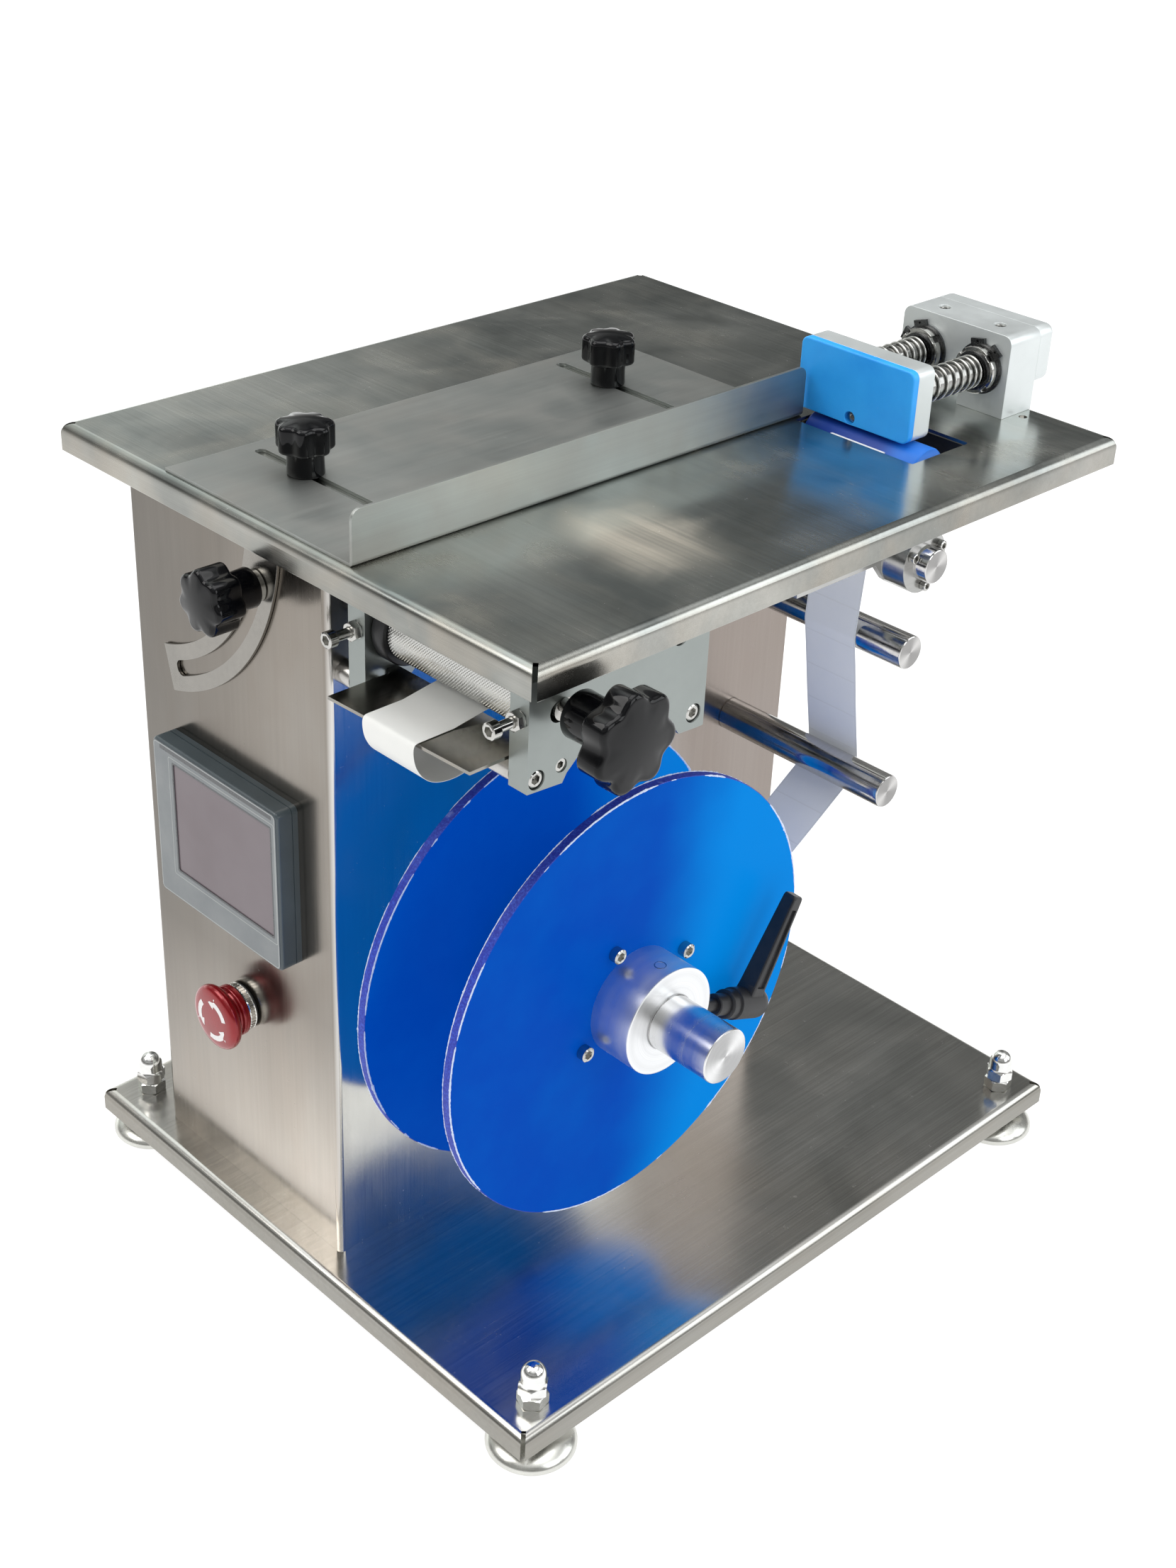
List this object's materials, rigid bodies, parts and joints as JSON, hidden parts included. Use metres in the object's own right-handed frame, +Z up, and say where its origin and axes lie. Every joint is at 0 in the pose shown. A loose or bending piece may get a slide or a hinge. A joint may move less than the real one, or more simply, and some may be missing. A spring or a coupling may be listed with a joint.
{
  "type": "corner labeling machine",
  "caption": "Benchtop corner labeling machine: tilting table with fence and sprung press pad, label reel, web rods and drive head on a tower.",
  "frame": {"origin": "centre of the whole part's footprint, on the floor under the feet", "axes": "+X from the electronics tower towards the label reel, +Y from the operator towards the back, +Z up"},
  "size_m": [0.4584, 0.5346, 0.5805],
  "materials": {
    "stainless": "brushed, handled and slightly stained",
    "stainless_polished": "bright turned or polished",
    "aluminium": "bead blasted and clear anodised",
    "black_phenolic": "glossy moulded",
    "black_matte": "fine textured",
    "blue_acrylic": "frosted faces, rough sawn rim",
    "blue_polyurethane": "smooth satin",
    "black_rubber": "matte",
    "red_plastic": "glossy moulded",
    "grey_film": "fine grained film",
    "screen_glass": "unlit display under a clear cover",
    "label_paper": "matte white",
    "dark_enamel": "satin black housings"
  },
  "bodies": {
    "frame": {"base_plate": "stainless", "foot_pads": "stainless", "foot_nuts": "stainless_polished", "tower_shell": "stainless", "tower_rear_cover": "stainless", "tower_edge_seal": "black_rubber", "hinge_fixed_leaf": "stainless", "tilt_stud": "stainless_polished", "hmi_bezel": "black_matte", "hmi_film": "grey_film", "hmi_screen": "screen_glass", "estop_body": "stainless_polished", "head_outer_plate": "aluminium", "head_inner_plate": "aluminium", "spacer_rods": "aluminium", "machine_screws": "stainless_polished", "guide_plate": "stainless", "jack_screws": "stainless_polished", "guide_rods": "stainless_polished", "roller_bracket": "stainless", "bracket_screws": "stainless_polished", "peel_plate": "stainless", "reel_bearings": "aluminium", "drive_motor": "dark_enamel", "control_unit": "aluminium", "power_inlet": "black_matte", "web_supply": "label_paper", "liner_return": "label_paper"},
    "table": {"table_top": "stainless", "quadrant_plate": "stainless", "hinge_moving_leaf": "stainless", "press_housing": "aluminium", "press_rear_cap": "aluminium", "press_lock_washers": "dark_enamel", "press_lock_nuts": "stainless_polished"},
    "fence_body": {"fence": "stainless"},
    "front_fence_knob": {"fence_knob_front": "black_phenolic"},
    "rear_fence_knob": {"fence_knob_rear": "black_phenolic"},
    "press_carriage": {"press_pad": "blue_polyurethane", "press_block": "aluminium", "press_shafts": "stainless_polished", "press_springs": "stainless_polished"},
    "tilt_clamp_knob": {"tilt_knob": "black_phenolic"},
    "reel": {"reel_shaft": "stainless_polished", "back_disc": "blue_acrylic", "back_flange": "aluminium", "label_roll": "label_paper"},
    "reel_outer": {"front_disc": "blue_acrylic", "reel_hub": "aluminium", "reel_hub_screws": "stainless_polished"},
    "hub_lever": {"clamp_lever": "black_matte"},
    "drive": {"drive_roller": "black_rubber", "drive_shaft": "stainless_polished"},
    "nip_carriage": {"nip_axle": "stainless_polished"},
    "nip_roller": {"knurled_roller": "stainless_polished", "roller_flange": "black_matte"},
    "nip_knob": {"head_knob": "black_phenolic"},
    "soft_roller": {"applicator_roller": "blue_polyurethane"},
    "stop_stem": {"estop_stem": "red_plastic"},
    "stop_head": {"estop_head": "red_plastic"}
  },
  "joints": [
    {"name": "table_tilt", "type": "hinge", "parent": "frame", "child": "table", "pos_m": [-0.16445, -0.0303, 0.5242], "axis": [0, -1, 0], "range_deg": [0, 50]},
    {"name": "fence_slide", "type": "slide", "parent": "table", "child": "fence_body", "axis": [1, 0, 0], "range_m": [-0.06, 0.04]},
    {"name": "front_fence_knob_turn", "type": "hinge", "parent": "table", "child": "front_fence_knob", "pos_m": [-0.06075, -0.1738, 0.5485], "axis": [0, 0, 1], "continuous": true},
    {"name": "rear_fence_knob_turn", "type": "hinge", "parent": "table", "child": "rear_fence_knob", "pos_m": [-0.06075, 0.0632, 0.5485], "axis": [0, 0, 1], "continuous": true},
    {"name": "press_slide", "type": "slide", "parent": "table", "child": "press_carriage", "axis": [0, 1, 0], "range_m": [0, 0.015], "stiffness_N_per_m": 1500, "springref_m": -0.012, "deforming": ["press_springs"]},
    {"name": "tilt_knob_turn", "type": "hinge", "parent": "frame", "child": "tilt_clamp_knob", "pos_m": [-0.03932, -0.2403, 0.48475], "axis": [0, -1, 0], "continuous": true},
    {"name": "reel_spin", "type": "hinge", "parent": "frame", "child": "reel", "pos_m": [0.09025, -0.0943, 0.2403], "axis": [1, 0, 0], "continuous": true},
    {"name": "outer_disc_slide", "type": "slide", "parent": "reel", "child": "reel_outer", "axis": [1, 0, 0], "range_m": [0, 0.035]},
    {"name": "hub_lever_turn", "type": "hinge", "parent": "reel_outer", "child": "hub_lever", "pos_m": [0.15525, -0.0943, 0.2403], "axis": [0, 0.9239, -0.3827], "range_deg": [0, 170]},
    {"name": "drive_roller_spin", "type": "hinge", "parent": "frame", "child": "drive", "pos_m": [0.11025, -0.1509, 0.4845], "axis": [1, 0, 0], "continuous": true},
    {"name": "nip_slide", "type": "slide", "parent": "frame", "child": "nip_carriage", "axis": [0, 1, 0], "range_m": [-0.002, 0]},
    {"name": "nip_roller_spin", "type": "hinge", "parent": "nip_carriage", "child": "nip_roller", "pos_m": [0.11025, -0.1913, 0.4845], "axis": [1, 0, 0], "continuous": true},
    {"name": "nip_knob_turn", "type": "hinge", "parent": "nip_carriage", "child": "nip_knob", "pos_m": [0.20025, -0.1948, 0.4875], "axis": [1, 0, 0], "continuous": true},
    {"name": "soft_roller_spin", "type": "hinge", "parent": "frame", "child": "soft_roller", "pos_m": [0.10025, 0.1337, 0.5162], "axis": [1, 0, 0], "continuous": true},
    {"name": "stop_press", "type": "slide", "parent": "frame", "child": "stop_stem", "axis": [0, 1, 0], "range_m": [0, 0.004]},
    {"name": "stop_twist", "type": "hinge", "parent": "stop_stem", "child": "stop_head", "pos_m": [-0.07375, -0.2443, 0.1796], "axis": [0, -1, 0], "range_deg": [0, 45], "stiffness_Nm_per_rad": 0.05, "springref_deg": -5.73}
  ],
  "couplings": [
    {"joint": "nip_roller_spin", "follows": "drive_roller_spin", "ratio": -1.0256}
  ]
}
